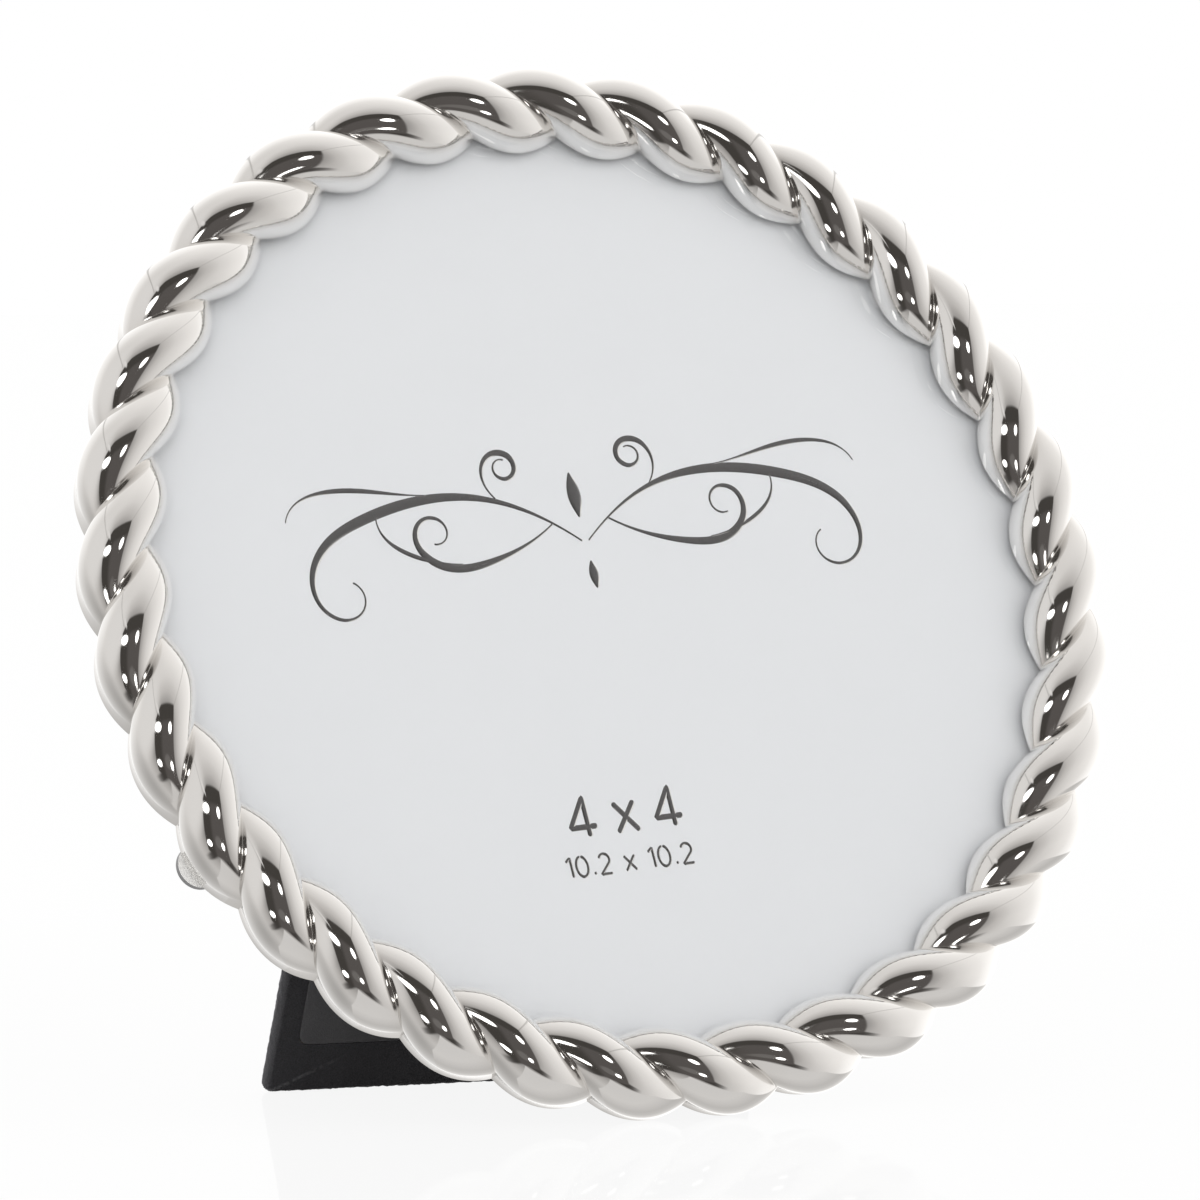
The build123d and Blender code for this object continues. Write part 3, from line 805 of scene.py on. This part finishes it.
def spot(across, high, half_width, half_height, slope=0.0):
    """0 in the middle of an oval patch and 1 at its edge, by the square of the distance."""
    from_middle = aside - across
    return (from_middle / half_width) ** 2 + ((above - high - from_middle * slope) / half_height) ** 2


shade_place = towards * 0.5 + 0.5
low = upwards.ramp(0.0, -0.8)
walls = tent("ValToRGB", {"stops": tent_shades}, {0: shade_place})
corner = heading.dot(np.array(corner_way) @ [right, up, back]).ramp(0.55, 0.97)
left_wall = sideways.ramp(0.2, -0.7) * towards.ramp(0.45, -0.05)
dim = left_wall * left_wall_dim + low * low_wall_dim + corner * corner_dim
walls = dim.blend(walls, (0, 0, 0, 1))
left_glow = heading.dot(np.array(glow_way) @ [right, up, back]).ramp(0.7, 0.97)
walls = left_glow.blend(walls, (*glow_tone, 1))
seam = abs(upwards - abs(sideways)).ramp(0.022, 0.006)
seam = seam * upwards.ramp(0.05, 0.15) * towards.ramp(0.76, 0.7)
walls = (seam * seam_depth).blend(walls, (*seam_tone, 1))
left_shadow = abs(above - aside * 0.78 + 0.65).ramp(0.28, 0.1)
left_shadow = left_shadow * aside.ramp(-1.7, -0.3) * aside.ramp(0.1, -0.1)
right_shadow = abs(above + aside * 0.65 + 0.5).ramp(0.34, 0.15)
right_shadow = right_shadow * aside.ramp(2.1, 0.7) * aside.ramp(-0.1, 0.1)
walls = ((left_shadow + right_shadow) * towards.ramp(0.1, 0.3)).blend(walls, (*shadow_tone, 1))
on_table = upwards.ramp(-0.02, -0.12)
facing = towards.maths("MAXIMUM", towards, 0.0)
for lean, forward in table_sides:
    on_table = on_table * (upwards + sideways * lean + facing * forward).ramp(table_edge, -table_edge)
walls = on_table.blend(walls, tent("ValToRGB", {"stops": table_shades}, {0: shade_place}))

opening = (above - aside * 1.2).ramp(*opening_corner) * ahead
for side, height in zip(opening_sides, opening_heights):
    opening = opening * aside.ramp(*side) * above.ramp(*height)
middle_seen = aside.ramp(-0.25, 0.0) * above.ramp(0.45, 0.3)
room = middle_seen.blend((*room_dark, 1), (*room_middle, 1))
room = spot(0.2, -0.42, 0.22, 0.16).ramp(1.4, 0.4).blend(room, (*room_low, 1))
mirrored = opening.blend(walls, room)
for streak in glow_streaks:
    mirrored = (spot(*streak).ramp(1.2, 0.3) * ahead).blend(mirrored, (*glow_tone, 1))
lamps = 0.0
for lamp in lamps_seen:
    lamps = lamps + spot(*lamp).ramp(1.2, 0.7)
panorama = tent("Background", None, {0: mirrored, 1: studio_level})
lamp_light = tent("Background", None, {0: (1, 0.99, 0.97, 1), 1: lamps * ahead * lamp_strength})
gloss_view = tent("AddShader", None, {0: panorama, 1: lamp_light})
white_view = tent("Background", None, {0: (1, 1, 1, 1), 1: 1.0})
plain_light = tent("Background", None, {0: (1.0, 0.995, 0.99, 1), 1: plain_level})
camera_ray = tent("LightPath", None, None, 0)
glossy_ray = tent("LightPath", None, None, 3)
unseen = tent("MixShader", None, {0: glossy_ray, 1: plain_light, 2: gloss_view})
light = tent("MixShader", None, {0: camera_ray, 1: unseen, 2: white_view})
output = studio.nodes.new("ShaderNodeOutputWorld")
studio.links.new(light.socket, output.inputs["Surface"])


def softbox(name, place, size, power):
    """A square lamp that points at the frame; metal doesn't mirror it."""
    data = bpy.data.lights.new(name, "AREA")
    data.shape = "SQUARE"
    data.size = size
    data.energy = power
    lamp = bpy.data.objects.new(name, data)
    aim = Vector(face_centre) - Vector(place)
    lamp.matrix_world = Matrix.Translation(place) @ aim.to_track_quat("-Z", "Y").to_matrix().to_4x4()
    lamp.visible_glossy = False
    bpy.context.scene.collection.objects.link(lamp)


softbox("key_light", (-0.5, -1.35, 0.95), 1.2, 7.4)
softbox("fill_light", (0.8, -1.15, 0.7), 1.2, 4.95)

# Picture settings: colours are shown as they are written.
bpy.context.scene.view_settings.view_transform = "Standard"
